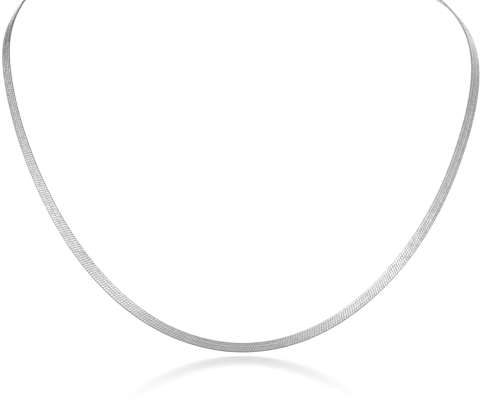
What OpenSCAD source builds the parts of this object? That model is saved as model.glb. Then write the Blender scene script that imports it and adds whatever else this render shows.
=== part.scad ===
// Flat herringbone neck chain, closed and holding the form it has round a neck.
// Millimetres, +Z up, the front of the chain towards -Y and the viewer's left towards -X.
// The origin is on the clasp, at the middle of the nape, where the chain bears on the neck.

/* [Chain] */
// Length of the whole loop, along the middle of the band and through the clasp
loop_len = 457; // [400:1:510]
// Width of the flat woven band
band_w = 3.1; // [2.4:0.1:4]
// Thickness of the flat woven band over its crowns
band_t = 0.6; // [0.5:0.05:0.9]
// Rows of links side by side across the band
band_rows = 4; // [2:1:6]
// Depth of the groove between two rows
groove_d = 0.08; // [0.04:0.01:0.15]
// Thickness left at the rounded edges of the band
edge_t = 0.24; // [0.15:0.01:0.4]

/* [End caps] */
// Length of band that an end cap holds
cap_grip = 3.2; // [2:0.1:5]
// Wall of an end cap, above, below and beside the band
cap_wall = 0.3; // [0.25:0.05:0.5]
// Solid end of the cap, past the end of the band
cap_end = 0.8; // [0.5:0.1:1.5]
// Thickness of the eye plate that stands out of the cap
lug_t = 0.6; // [0.5:0.05:0.8]
// Length of the plate from the cap's end to the middle of its eye
lug_len = 1.2; // [1:0.1:2]

/* [Eyes and rings] */
// Diameter of the eyes in the caps and in the clasp
eye_d = 1.5; // [1.3:0.05:1.8]
// Metal round an eye
eye_wall = 0.5; // [0.4:0.05:0.6]
// Diameter of the wire of the two jump rings
ring_wire = 0.7; // [0.5:0.05:0.8]
// Inner diameter of the two jump rings
ring_bore = 2.4; // [2.4:0.1:3]

/* [Clasp] */
// Thickness of the round bow of the clasp
bow_wire = 1.3; // [1:0.05:1.5]
// Width of the opening inside the bow
bow_gap = 2.2; // [1.6:0.1:3]
// Length of the straight sides of the bow
bow_side = 2; // [1:0.1:4]
// Diameter of the solid shank between the bow and the eye
shank_d = 1.9; // [1.6:0.1:2.4]
// Length of the shank, from the middle of the eye to the bow
shank_len = 2.6; // [2.4:0.1:4]
// Diameter of the solid neck between the shank and the eye
neck_d = 1.2; // [1:0.05:1.5]
// Length of the thumb stub on the side of the bow
stub_len = 0.7; // [0.4:0.1:1]
// Diameter of the thumb stub
stub_d = 0.9; // [0.6:0.05:1]

/* [Fit] */
// Gap between the band and the cap that grips it
grip_gap = 0.05; // [0.03:0.01:0.1]
// Gap between a ring and the eye that it bears on
seat_gap = 0.1; // [0.05:0.01:0.12]

/* [Hidden] */
$fn = 48;
SILVER = [0.78, 0.78, 0.79];

// Points that steer the loop, from the nape down the viewer's left, along the front and up again
ROUTE = [
    [0, 1, 0], [-19, -1.5, 0], [-37, -8.5, -1.5], [-52.9, -20, -6], [-62.9, -34, -14.1],
    [-67.6, -48, -26.2], [-65.8, -60.5, -40], [-61.7, -71.5, -54.6], [-55.1, -81.5, -70.3],
    [-46.6, -90, -85], [-35.3, -97, -98.5], [-20.1, -102, -109.5], [-0.8, -104.5, -114.4],
    [18, -101.5, -110.8], [33.5, -96, -101.1], [45.9, -89, -88.2], [54.9, -80, -74.2],
    [61.2, -70, -59.7], [66, -59, -44.4], [67.3, -46.5, -30.1], [62.8, -32, -19],
    [52.4, -18, -10.1], [36.6, -7, -4.2], [19, -1, -0.5]
];
// Lean of the band's outer face at each of those points, in degrees from upright
LEAN = [
    25, 27, 34, 45, 53, 49, 29, 21, 19, 24, 34, 38,
    36, 37, 33, 26, 23, 31, 41, 53, 55, 49, 38, 27
];
// Spans of the loop, and steps in each of them where its run is measured
SPANS = len(ROUTE);
STEPS = 16;
// Part of a span over which the loop's direction is read
SLIGHT = 0.01;
// Longest stretch of band between two sections
SECTION_STEP = 3;
// Share of a row's width between a groove and the flat crown of the row
CROWN = 0.2;

// A smooth closed curve steered by a table, as a function of the place t in that table
function wrap(i) = (i % SPANS + SPANS) % SPANS;
function steer(table, t) =
    let (i = floor(t), f = t - i)
    (pow(1 - f, 3) * table[wrap(i - 1)]
        + (3 * pow(f, 3) - 6 * pow(f, 2) + 4) * table[wrap(i)]
        + (-3 * pow(f, 3) + 3 * pow(f, 2) + 3 * f + 1) * table[wrap(i + 1)]
        + pow(f, 3) * table[wrap(i + 2)]) / 6;

// The run of the raw curve, as pairs of distance from the nape and place in the table
RAW = [for (i = [0:SPANS * STEPS]) steer(ROUTE, i / STEPS)];
RUN = [for (i = 0, s = 0; i <= SPANS * STEPS;
        s = s + (i < SPANS * STEPS ? norm(RAW[i + 1] - RAW[i]) : 0), i = i + 1) [s, i / STEPS]];
LOOP_SCALE = loop_len / RUN[SPANS * STEPS][0];

// Place in the table, direction, outer face and inner edge at a distance s from the nape
function place(s) = lookup((s < 0 ? s + loop_len : s) / LOOP_SCALE, RUN);
function unit(v) = v / norm(v);
function along(t) = unit(steer(ROUTE, t + SLIGHT) - steer(ROUTE, t - SLIGHT));
function outward(d) = unit([d.y, -d.x, 0]);
function face(t) =
    let (d = along(t), e = outward(d), a = steer(LEAN, t))
    cos(a) * e + sin(a) * cross(e, d);
function inner_edge(t) = cross(face(t), along(t));
function on_route(s) = steer(ROUTE, place(s)) * LOOP_SCALE;

// Frame of a stiff piece that reaches from s1 to s2, with its zero where the loop's is:
// X along the piece to the viewer's left, Y to the inner edge, Z out of the outer face
function frame(s1, s2) =
    let (t = place((s1 + s2) / 2), x = unit(on_route(s2) - on_route(s1)),
        z = unit(cross(x, inner_edge(t))), y = cross(z, x), p = on_route(s1) - s1 * x - HOME)
    [[x.x, y.x, z.x, p.x], [x.y, y.y, z.y, p.y], [x.z, y.z, z.z, p.z], [0, 0, 0, 1]];

// Stations of the pieces along the loop, to the viewer's left of the nape and to its right
ring_r = (ring_bore + ring_wire) / 2;
bow_r = (bow_gap + bow_wire) / 2;
lug_reach = eye_d / 2 - ring_wire / 2 - seat_gap + ring_r;
clasp_eye = -shank_len / 2;
bow_start = shank_len / 2;
bow_end = bow_start + bow_wire / 2 + bow_r + bow_side + bow_r;
left_ring = bow_end - bow_wire / 2 - seat_gap - ring_wire / 2 + ring_r;
left_eye = left_ring + lug_reach;
right_ring = clasp_eye - lug_reach;
right_eye = right_ring - lug_reach;
cap_len = cap_grip + cap_end;
left_cap = left_eye + lug_len;
right_cap = right_eye - lug_len;
band_from = left_cap + cap_end + seat_gap;
band_to = loop_len + right_cap - cap_end - seat_gap;

// Middle of the shank's inner side, which is the origin
SHANK_X = unit(on_route(bow_end) - on_route(clasp_eye));
HOME = on_route(clasp_eye) - clasp_eye * SHANK_X
    - unit(cross(SHANK_X, inner_edge(place((clasp_eye + bow_end) / 2)))) * shank_d / 2;

// One face of the band's section, from the outer edge to the inner one, as across and height
row_w = band_w / band_rows;
FACE = [for (k = [0:band_rows - 1]) each concat(
    [[-band_w / 2 + (k + CROWN) * row_w, band_t / 2], [-band_w / 2 + (k + 1 - CROWN) * row_w, band_t / 2]],
    k < band_rows - 1 ? [[-band_w / 2 + (k + 1) * row_w, band_t / 2 - groove_d]] : [])];
SECTION = concat(
    [[-band_w / 2, edge_t / 2]], FACE, [[band_w / 2, edge_t / 2], [band_w / 2, -edge_t / 2]],
    [for (i = [len(FACE) - 1:-1:0]) [FACE[i].x, -FACE[i].y]], [[-band_w / 2, -edge_t / 2]]);

// The woven band, as one solid swept along the loop
module herringbone_band() {
    sides = len(SECTION);
    sections = ceil((band_to - band_from) / SECTION_STEP);
    points = [for (k = [0:sections])
        let (s = band_from + (band_to - band_from) * k / sections, t = place(s))
        for (q = SECTION) on_route(s) - HOME + q.x * inner_edge(t) + q.y * face(t)];
    skin = [for (k = [0:sections - 1], i = [0:sides - 1])
        let (a = k * sides + i, b = k * sides + (i + 1) % sides)
        each [[a, b, a + sides], [b, b + sides, a + sides]]];
    ends = [[for (i = [sides - 1:-1:0]) i], [for (i = [0:sides - 1]) sections * sides + i]];
    color(SILVER) polyhedron(points, concat(skin, ends));
}

// A bar along X with half-round sides
module flat_bar(length, width, thick) {
    for (side = [-1, 1])
        translate([0, side * (width - thick) / 2, 0]) rotate([0, 90, 0]) cylinder(h = length, d = thick);
    translate([0, -(width - thick) / 2, -thick / 2]) cube([length, width - thick, thick]);
}

// A crimped end cap: the band comes in from +X, the closed end is at X = 0 and the eye at -X
module end_cap() {
    slot_w = band_w + 2 * grip_gap;
    slot_t = band_t + 2 * grip_gap;
    difference() {
        union() {
            flat_bar(cap_len, slot_w + 2 * cap_wall, slot_t + 2 * cap_wall);
            translate([-lug_len, 0, -lug_t / 2]) cylinder(h = lug_t, d = eye_d + 2 * eye_wall);
            translate([-lug_len, -eye_d / 2 - eye_wall, -lug_t / 2])
                cube([lug_len + cap_end / 2, eye_d + 2 * eye_wall, lug_t]);
        }
        translate([cap_end, -slot_w / 2, -slot_t / 2]) cube([cap_len, slot_w, slot_t]);
        translate([-lug_len, 0, -lug_t]) cylinder(h = 2 * lug_t, d = eye_d);
    }
}

module end_cap_left() {
    color(SILVER) multmatrix(frame(left_eye, left_cap + cap_len)) translate([left_cap, 0, 0]) end_cap();
}

module end_cap_right() {
    color(SILVER) multmatrix(frame(right_cap - cap_len, right_eye))
        translate([right_cap, 0, 0]) rotate([0, 0, 180]) end_cap();
}

// A jump ring, standing in the plane of the loop's direction and the face's normal
module jump_ring() {
    rotate([90, 0, 0]) rotate_extrude() translate([ring_r, 0]) circle(d = ring_wire);
}

module catch_ring() {
    color(SILVER) multmatrix(frame(left_ring - ring_r, left_ring + ring_r))
        translate([left_ring, 0, 0]) jump_ring();
}

module clasp_ring() {
    color(SILVER) multmatrix(frame(right_ring - ring_r, right_ring + ring_r))
        translate([right_ring, 0, 0]) jump_ring();
}

// Half of the bow's round end, opening towards -X
module bow_turn() {
    rotate([0, 0, -90]) rotate_extrude(angle = 180) translate([bow_r, 0]) circle(d = bow_wire);
}

// The closed clasp: the eye at -X, a solid shank over the nape, and the bow with its thumb stub
module clasp() {
    turn_x = bow_start + bow_wire / 2 + bow_r;
    color(SILVER) multmatrix(frame(clasp_eye, bow_end)) {
        translate([turn_x + bow_side, 0, 0]) bow_turn();
        translate([turn_x, 0, 0]) rotate([0, 0, 180]) bow_turn();
        for (side = [-1, 1])
            translate([turn_x, side * bow_r, 0]) rotate([0, 90, 0]) cylinder(h = bow_side, d = bow_wire);
        translate([turn_x + bow_side / 2, bow_r, 0]) rotate([-90, 0, 0])
            cylinder(h = bow_wire / 2 + stub_len, d = stub_d);
        difference() {
            union() {
                rotate([0, 90, 0]) cylinder(h = bow_start + bow_wire / 2, d = shank_d);
                translate([clasp_eye, 0, 0]) rotate([0, 90, 0]) cylinder(h = -clasp_eye, d = neck_d);
                translate([clasp_eye, 0, -lug_t / 2]) cylinder(h = lug_t, d = eye_d + 2 * eye_wall);
            }
            translate([clasp_eye, 0, -shank_d]) cylinder(h = 2 * shank_d, d = eye_d);
        }
    }
}

herringbone_band();
end_cap_left();
end_cap_right();
catch_ring();
clasp_ring();
clasp();
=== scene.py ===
import bpy
import numpy as np
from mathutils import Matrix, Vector


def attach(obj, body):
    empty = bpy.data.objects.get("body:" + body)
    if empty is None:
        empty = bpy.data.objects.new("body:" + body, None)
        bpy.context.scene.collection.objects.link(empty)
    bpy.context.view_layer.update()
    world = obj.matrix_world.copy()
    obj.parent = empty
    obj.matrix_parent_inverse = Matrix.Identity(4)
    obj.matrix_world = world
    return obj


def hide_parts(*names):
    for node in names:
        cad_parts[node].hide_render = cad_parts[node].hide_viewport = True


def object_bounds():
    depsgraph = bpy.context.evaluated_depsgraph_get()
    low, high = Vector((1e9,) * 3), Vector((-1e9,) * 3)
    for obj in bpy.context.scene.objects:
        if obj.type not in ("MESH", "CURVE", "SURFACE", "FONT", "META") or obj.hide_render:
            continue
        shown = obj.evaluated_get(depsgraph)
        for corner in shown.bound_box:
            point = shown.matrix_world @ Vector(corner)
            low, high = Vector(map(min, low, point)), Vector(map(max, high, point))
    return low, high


# Looks of the flat herringbone neck chain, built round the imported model. Metres, +Z up.
# A point of the band has three measures: s along the loop from the nape, x across the band
# towards its inner edge, and z out of its outer face.

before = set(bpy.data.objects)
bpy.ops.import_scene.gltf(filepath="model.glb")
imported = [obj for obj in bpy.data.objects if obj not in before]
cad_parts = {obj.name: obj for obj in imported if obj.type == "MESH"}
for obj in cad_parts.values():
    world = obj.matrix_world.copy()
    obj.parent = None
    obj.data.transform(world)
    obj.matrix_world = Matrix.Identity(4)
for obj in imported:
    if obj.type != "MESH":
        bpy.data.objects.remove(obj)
CAD_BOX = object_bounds()
MM = 0.001

# The loop, as in the model's source: its length, the points that steer it and the band's lean
LOOP_LEN = 457 * MM
ROUTE = np.array([
    (0, 1, 0), (-19, -1.5, 0), (-37, -8.5, -1.5), (-52.9, -20, -6), (-62.9, -34, -14.1),
    (-67.6, -48, -26.2), (-65.8, -60.5, -40), (-61.7, -71.5, -54.6), (-55.1, -81.5, -70.3),
    (-46.6, -90, -85), (-35.3, -97, -98.5), (-20.1, -102, -109.5), (-0.8, -104.5, -114.4),
    (18, -101.5, -110.8), (33.5, -96, -101.1), (45.9, -89, -88.2), (54.9, -80, -74.2),
    (61.2, -70, -59.7), (66, -59, -44.4), (67.3, -46.5, -30.1), (62.8, -32, -19),
    (52.4, -18, -10.1), (36.6, -7, -4.2), (19, -1, -0.5),
]) * MM
LEAN = np.radians([
    25, 27, 34, 45, 53, 49, 29, 21, 19, 24, 34, 38,
    36, 37, 33, 26, 23, 31, 41, 53, 55, 49, 38, 27,
])
STEPS = 16
SLIGHT = 0.01

# Parts of the clasp that set where the loop lies: its eye, the end of its bow and its shank
CLASP_EYE = -1.3 * MM
BOW_END = 7.45 * MM
SHANK_R = 0.95 * MM
# Where the woven stretch starts and ends, inside the two end caps
WEAVE_FROM = 13.3 * MM
WEAVE_TO = LOOP_LEN - 8.4 * MM

# The weave: flattened coils, one for each row, whose turns are the links. A strand is wide over
# the middle of its row and narrow where it passes the strands of the row beside it.
PITCH = 0.729 * MM
ROWS = 4
ROW_W = 0.966 * MM
ROW_STEP = 0.686 * MM
WEAVE_T = 0.52 * MM
STRAND_T = 0.12 * MM
STRAND_BEVEL = 0.05 * MM
STRAND_W = 0.65 * MM
STRAND_END_W = 0.28 * MM
STRAND_EDGE_W = 0.60 * MM
WIDE_TO = 0.22 * MM
NARROW_FROM = 0.30 * MM
# How much sooner a strand turns narrow on the hidden side, where it leans more
UNDER_NARROWER = 1.4
# How far a turn's two bends reach beyond its flats
BEND_REACH = 0.10 * MM
# The share of a turn's advance that its outer face takes
FACE_SHARE = 0.10
# How far a strand leans along the chain on its way up, so that it hooks its neighbours' turns
TURN_TILT = 0.19 * MM
# Shear of the weave, as an angle, at places along the loop
SHEAR_AT = np.array([0, 75, 130, 150, 170, 190, 210, 230, 250, 270, 290, 310, 345, 385, 457]) * MM
SHEAR = np.tan(np.radians([5, 12, 24, 27, 24, 17, 20, 29, 28, 29, 26, 21, 18, 12, 5]))
# Spread of the turns from their even places, and the most that one turns from its even facing
TURN_SPREAD = 0.010 * MM
ROLL_MOST = np.radians(3)
# Steps along each flat and round each bend of a turn
FLAT_STEPS = 6
BEND_STEPS = 6
# The painted shade along the band's two edges: it starts where a turn's face has swung this far
# outwards, and on the outer row, more softly, this far from the row's middle
RIM_FROM = 0.1
OUTER_FROM = 0.25 * MM
# Materials of a strand's faces, in this order on each row: its plates, a dark silver of painted shade,
# and a softer dark silver of painted shade along the band's edges
PLATE, SHADE, EDGE_SHADE = range(3)

# The photograph: its size in pixels, the real size of one at the front, and the camera's place
PHOTO_W = 487
PIXEL = 0.27 * MM
SENSOR_W = 36.0
CAMERA_RANGE = 1.0
CAMERA = Vector((0.67, -1102.98, -73.06)) * MM
FLOOR_GAP = 0.45 * MM


def steer(table, t):
    """A smooth closed curve steered by a table, at the places t in that table."""
    i = np.floor(t).astype(int)
    f = (t - i)[..., None]
    parts = [(1 - f) ** 3, 3 * f**3 - 6 * f**2 + 4, -3 * f**3 + 3 * f**2 + 3 * f + 1, f**3]
    return sum(w * table[(i + k - 1) % len(table)] for k, w in enumerate(parts)) / 6


def unit(v):
    return v / np.linalg.norm(v, axis=-1, keepdims=True)


RAW_T = np.arange(len(ROUTE) * STEPS + 1) / STEPS
RAW_STEP = np.linalg.norm(np.diff(steer(ROUTE, RAW_T), axis=0), axis=1)
RAW_S = np.concatenate([[0], np.cumsum(RAW_STEP)])
LOOP_SCALE = LOOP_LEN / RAW_S[-1]


def place(s):
    return np.interp(np.mod(s, LOOP_LEN) / LOOP_SCALE, RAW_S, RAW_T)


def band_frame(s):
    """Middle of the band, the way to its inner edge and the way out of its face, at s."""
    t = place(s)
    along = unit(steer(ROUTE, t + SLIGHT) - steer(ROUTE, t - SLIGHT))
    out = unit(np.stack([along[..., 1], -along[..., 0], 0 * along[..., 0]], axis=-1))
    lean = steer(LEAN[:, None], t)
    face = np.cos(lean) * out + np.sin(lean) * np.cross(out, along)
    return steer(ROUTE, t) * LOOP_SCALE, np.cross(face, along), face


def home():
    """The model's origin, at the middle of the inner side of the clasp's shank."""
    eye, end = band_frame(np.array([CLASP_EYE, BOW_END]))[0]
    shank = unit(end - eye)
    inner = band_frame(np.array([(CLASP_EYE + BOW_END) / 2]))[1][0]
    return eye - CLASP_EYE * shank - unit(np.cross(shank, inner)) * SHANK_R


HOME = home()


def on_band(s, x, z):
    """Points in the model's frame for places s, x, z of the band."""
    middle, inner, face = band_frame(s)
    return middle - HOME + x[..., None] * inner + z[..., None] * face


def turn_path():
    """One turn seen along the chain, as places across and up, the way out and the advance."""
    reach = (ROW_W - STRAND_T) / 2
    rise = (WEAVE_T - STRAND_T) / 2
    flat = reach - BEND_REACH
    run = [(-flat + 2 * flat * k / FLAT_STEPS, rise, 0, 1) for k in range(FLAT_STEPS)]
    round_the_bend = [np.pi / 2 - np.pi * k / BEND_STEPS for k in range(BEND_STEPS)]
    ways = [(np.cos(angle), np.sin(angle)) for angle in round_the_bend]
    bend = [(flat + BEND_REACH * c, rise * d, c, d) for c, d in ways]
    half = np.array(run + bend)
    path = np.concatenate([half, -half])
    x, z = path[:, 0] / reach, path[:, 1] / rise
    over = FACE_SHARE * (x + 1) / 2
    under = FACE_SHARE + (1 - FACE_SHARE) * (1 - x) / 2
    second = np.arange(len(path)) >= len(half)
    advance = np.where(z > SLIGHT, over + second, under)
    return path, advance, reach, rise


def strand_section(width):
    """Six corners of a flattened strand, as along the chain and out, for each width given."""
    w, b, t = width / 2, STRAND_BEVEL, STRAND_T / 2
    zero = 0 * w
    along = np.stack([-w, b - w, w - b, w, w - b, b - w], axis=-1)
    out = np.stack([zero, zero + t, zero + t, zero, zero - t, zero - t], axis=-1)
    return along, out


def face_weighted(rings):
    """Normals for rings of corners: at each, the faces round it by their size, so that the broad
    flat of a strand stays flat and only its bevels turn away."""
    after = np.roll(rings, -1, axis=1)
    faces = np.cross(after[1:] - rings[:-1], rings[1:] - after[:-1])
    total = np.zeros_like(rings)
    total[:-1] += faces
    total[1:] += faces
    return unit(total + np.roll(total, 1, axis=1))


def mesh_object(name, points, faces, kinds, normals):
    """A smooth mesh with the normals given, whose faces take the materials of the kinds given."""
    mesh = bpy.data.meshes.new(name)
    mesh.from_pydata(points.tolist(), [], faces)
    mesh.shade_smooth()
    mesh.normals_split_custom_set_from_vertices(normals.tolist())
    mesh.polygons.foreach_set("material_index", kinds)
    piece = bpy.data.objects.new(name, mesh)
    bpy.context.scene.collection.objects.link(piece)
    return piece


def strand_width(row, x):
    """Width of a row's strand at the places x across that row."""
    end = np.full_like(x, STRAND_END_W)
    end[(x < 0) & (row == 0)] = STRAND_EDGE_W
    end[(x > 0) & (row == ROWS - 1)] = STRAND_EDGE_W
    share = np.clip((NARROW_FROM - np.abs(x)) / (NARROW_FROM - WIDE_TO), 0, 1)
    return end + (STRAND_W - end) * share**2 * (3 - 2 * share)


def even_out(values, s):
    """Values given for the turns, spread smoothly over the places s."""
    return np.interp((s - WEAVE_FROM) / PITCH, np.arange(len(values)), values)


def weave_row(row):
    """One row of the weave, from the outer edge inwards: a flattened coil whose turns are linked
    with the turns of the rows beside it."""
    hand = 1 if row % 2 else -1
    middle = (row - (ROWS - 1) / 2) * ROW_STEP
    path, advance, reach, rise = turn_path()
    path = path * (hand, 1, hand, 1)
    turns = int((WEAVE_TO - WEAVE_FROM) / PITCH)
    random = np.random.default_rng(row)
    across, up, out_x, out_z = np.tile(path, (turns, 1)).T
    s = WEAVE_FROM + PITCH * (np.repeat(np.arange(turns), len(path)) + np.tile(advance, turns))
    s = s + hand * TURN_TILT * up / rise + even_out(random.normal(0, TURN_SPREAD, turns), s)
    width = strand_width(row, across * np.where(up < 0, UNDER_NARROWER, 1))
    along, out = strand_section(width)
    s = s - hand * np.sign(up) * (width - STRAND_END_W) / 2
    roll = even_out(random.uniform(-ROLL_MOST, ROLL_MOST, turns), s)[:, None]
    x = middle + across[:, None] + out * out_x[:, None]
    z = up[:, None] + (out + along * roll) * out_z[:, None]
    s = s[:, None] + along
    points = on_band(s + np.interp(s, SHEAR_AT, SHEAR) * x, x, z)
    rings, sides = along.shape
    first = (np.arange(rings - 1) * sides)[:, None] + np.arange(sides)
    after = (np.arange(rings - 1) * sides)[:, None] + (np.arange(sides) + 1) % sides
    quads = np.stack([first, first + sides, after + sides, after], axis=-1).reshape(-1, 4)
    quads = quads[:, ::-hand]
    last = (rings - 1) * sides
    ends = [list(range(sides))[::-hand], list(range(last, last + sides))[::hand]]
    side = np.arange(sides)
    # Painted shade along the band's two edges: turns swung outwards on the two outer rows take the dark
    # silver at the outer edge and the softer dark silver at the inner edge, and the outer part of the
    # outer row takes the softer one
    rim_shade = (np.abs(middle) > ROW_STEP) & (out_x[:-1, None] * np.sign(middle) > RIM_FROM)
    # Each strand's undersides, the bevel on one side and the row's two end faces take the dark silver:
    # painted shade of the gaps between the links
    dark = (side >= sides // 2) | (side == 1 + hand)
    half_way = (across[1:, None] + across[:-1, None]) / 2
    outer = (row == 0) & (half_way < -OUTER_FROM)
    kinds = np.where(dark, SHADE, np.where(outer, EDGE_SHADE, PLATE))
    kinds = np.where(rim_shade, EDGE_SHADE if middle > 0 else SHADE, kinds)
    kinds = kinds.ravel().tolist() + [SHADE, SHADE]
    normals = hand * face_weighted(points).reshape(-1, 3)
    points = points.reshape(-1, 3)
    return mesh_object(f"weave_row_{row + 1}", points, quads.tolist() + ends, kinds, normals)


def node(tree, kind, **values):
    made = tree.nodes.new(kind)
    for name, value in values.items():
        made.inputs[name.replace("_", " ")].default_value = value
    return made


def silver(name, tone, rough, grain):
    """Polished silver with fine wear: cloudy tone, uneven polish and hair scratches."""
    material = bpy.data.materials.new(name)
    material.use_nodes = True
    tree = material.node_tree
    link = tree.links.new
    shader = tree.nodes["Principled BSDF"]
    shader.inputs["Metallic"].default_value = 1.0
    where = node(tree, "ShaderNodeTexCoord").outputs["Object"]
    cloud = node(tree, "ShaderNodeTexNoise", Scale=220.0, Detail=3.0)
    link(where, cloud.inputs["Vector"])
    tint = tree.nodes.new("ShaderNodeMix")
    tint.data_type = "RGBA"
    tint.inputs["A"].default_value = (tone * 0.9, tone * 0.9, tone * 0.905, 1)
    tint.inputs["B"].default_value = (tone, tone, tone * 1.004, 1)
    link(cloud.outputs["Fac"], tint.inputs["Factor"])
    link(tint.outputs["Result"], shader.inputs["Base Color"])
    polish = node(tree, "ShaderNodeMapRange", To_Min=rough * 0.9, To_Max=rough * 1.15)
    fine = node(tree, "ShaderNodeTexNoise", Scale=grain, Detail=4.0)
    link(where, fine.inputs["Vector"])
    link(fine.outputs["Fac"], polish.inputs["Value"])
    link(polish.outputs["Result"], shader.inputs["Roughness"])
    bump = node(tree, "ShaderNodeBump", Strength=0.12, Distance=0.01 * MM)
    link(fine.outputs["Fac"], bump.inputs["Height"])
    link(bump.outputs["Normal"], shader.inputs["Normal"])
    return material


def paint(piece, *materials):
    kinds = [p.material_index for p in piece.data.polygons]
    piece.data.materials.clear()
    for material in materials:
        piece.data.materials.append(material)
    if len(materials) > 1:
        piece.data.polygons.foreach_set("material_index", kinds)


# The camera, at the photograph's angle
def camera():
    data = bpy.data.cameras.new("camera")
    data.sensor_width = SENSOR_W
    data.lens = SENSOR_W * CAMERA_RANGE / (PHOTO_W * PIXEL)
    data.clip_start = 0.1
    data.clip_end = 20
    made = bpy.data.objects.new("camera", data)
    made.location = CAMERA
    made.rotation_euler = (np.pi / 2, 0, 0)
    bpy.context.scene.collection.objects.link(made)
    bpy.context.scene.camera = made


# The floor: a lit white sheet with a soft mirror image of the chain
FLOOR_HALF = 60.0
FLOOR_TONE = 0.92
FLOOR_GLOSS = 0.50
FLOOR_ROUGHNESS = 0.085
FLOOR_GLOW = 0.16


def floor():
    height = CAD_BOX[0].z - FLOOR_GAP
    mesh = bpy.data.meshes.new("floor")
    corners = [(x * FLOOR_HALF, y * FLOOR_HALF, height) for x, y in ((-1, -1), (1, -1), (1, 1), (-1, 1))]
    mesh.from_pydata(corners, [], [(0, 1, 2, 3)])
    made = bpy.data.objects.new("floor", mesh)
    bpy.context.scene.collection.objects.link(made)
    material = bpy.data.materials.new("floor_white")
    material.use_nodes = True
    tree = material.node_tree
    tree.nodes.clear()
    output = tree.nodes.new("ShaderNodeOutputMaterial")
    mix = node(tree, "ShaderNodeMixShader", Fac=FLOOR_GLOSS)
    matt = node(tree, "ShaderNodeBsdfDiffuse", Color=(FLOOR_TONE, FLOOR_TONE, FLOOR_TONE, 1))
    gloss = node(tree, "ShaderNodeBsdfGlossy", Color=(1, 1, 1, 1), Roughness=FLOOR_ROUGHNESS)
    glow = node(tree, "ShaderNodeEmission", Strength=FLOOR_GLOW)
    total = tree.nodes.new("ShaderNodeAddShader")
    tree.links.new(matt.outputs["BSDF"], mix.inputs[1])
    tree.links.new(gloss.outputs["BSDF"], mix.inputs[2])
    tree.links.new(mix.outputs["Shader"], total.inputs[0])
    tree.links.new(glow.outputs["Emission"], total.inputs[1])
    tree.links.new(total.outputs["Shader"], output.inputs["Surface"])
    mesh.materials.append(material)


# The surroundings: white walls up to WALL_TO, as the sine of the height above the horizon, which
# fade into a dark ceiling by CEILING_FROM
WALL = 1.04
WALL_TO = 0.05
CEILING_FROM = 0.3
# Soft patches of light on the ceiling: heading (0 is where the camera stands, 90 the viewer's
# right), height above the horizon, radius, all in degrees, and strength
PATCHES = [
    (-100, 18, 32, 0.2),
    (-60, 18, 32, 0.75),
    (30, 18, 32, 2.0),
    (70, 18, 32, 0.88),
    (110, 18, 32, 0.75),
    (150, 18, 32, 1.2),
    (-172, 18, 25, 2.6),
    (-90, 45, 30, 2.2),
    (-40, 45, 30, 1.2),
    (5, 45, 30, 1.35),
    (150, 45, 30, 0.6),
    (0, 72, 26, 0.22),
]


def studio():
    """Soft white surroundings: light walls, a dark ceiling and patches of light on it."""
    scene = bpy.context.scene
    scene.view_settings.view_transform = "Standard"
    # The weave is about two pixels fine, and a filtered guide would smooth it away
    scene.cycles.denoising_prefilter = "NONE"
    world = bpy.data.worlds.new("studio")
    scene.world = world
    world.use_nodes = True
    tree = world.node_tree
    link = tree.links.new
    where = node(tree, "ShaderNodeTexCoord").outputs["Generated"]
    total = None
    for heading, height, radius, light in PATCHES:
        a, e = np.radians(heading), np.radians(height)
        facing = tree.nodes.new("ShaderNodeVectorMath")
        facing.operation = "DOT_PRODUCT"
        facing.inputs[1].default_value = (np.sin(a) * np.cos(e), -np.cos(a) * np.cos(e), np.sin(e))
        link(where, facing.inputs[0])
        patch = node(tree, "ShaderNodeMapRange", From_Min=np.cos(np.radians(radius)), To_Max=light)
        patch.interpolation_type = "SMOOTHSTEP"
        link(facing.outputs["Value"], patch.inputs["Value"])
        add = tree.nodes.new("ShaderNodeMath")
        add.inputs[1].default_value = 0
        link(patch.outputs["Result"], add.inputs[0])
        if total is not None:
            link(total, add.inputs[1])
        total = add.outputs["Value"]
    split = tree.nodes.new("ShaderNodeSeparateXYZ")
    link(where, split.inputs["Vector"])
    above = node(tree, "ShaderNodeMapRange", From_Min=WALL_TO, From_Max=CEILING_FROM)
    link(split.outputs["Z"], above.inputs["Value"])
    level = tree.nodes.new("ShaderNodeMix")
    level.inputs["A"].default_value = WALL
    link(above.outputs["Result"], level.inputs["Factor"])
    link(total, level.inputs["B"])
    link(level.outputs["Result"], tree.nodes["Background"].inputs["Strength"])
    tree.nodes["Background"].inputs["Color"].default_value = (1, 1, 1, 1)


camera()
floor()
studio()

# Silvers: name, tone, roughness and fineness of the wear, for a strand's plates, its faces in painted
# shade and the softer painted shade of the edges, and for the caps, rings and clasp
plate = silver("woven_silver", 0.735, 0.32, 9000.0)
# A dark copy of the silver: painted shade for the faces that sit in the gaps between links
shade = silver("painted_shade_silver", 0.30, 0.35, 9000.0)
# A softer dark copy of the silver: painted shade along the band's edges
edge = silver("painted_edge_shade_silver", 0.46, 0.35, 9000.0)
smooth = silver("polished_silver", 0.78, 0.16, 5000.0)
for row in range(ROWS):
    piece = weave_row(row)
    paint(piece, plate, shade, edge)
    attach(piece, "root")
    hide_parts("herringbone_band")
for name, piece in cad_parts.items():
    if name != "herringbone_band":
        paint(piece, smooth)
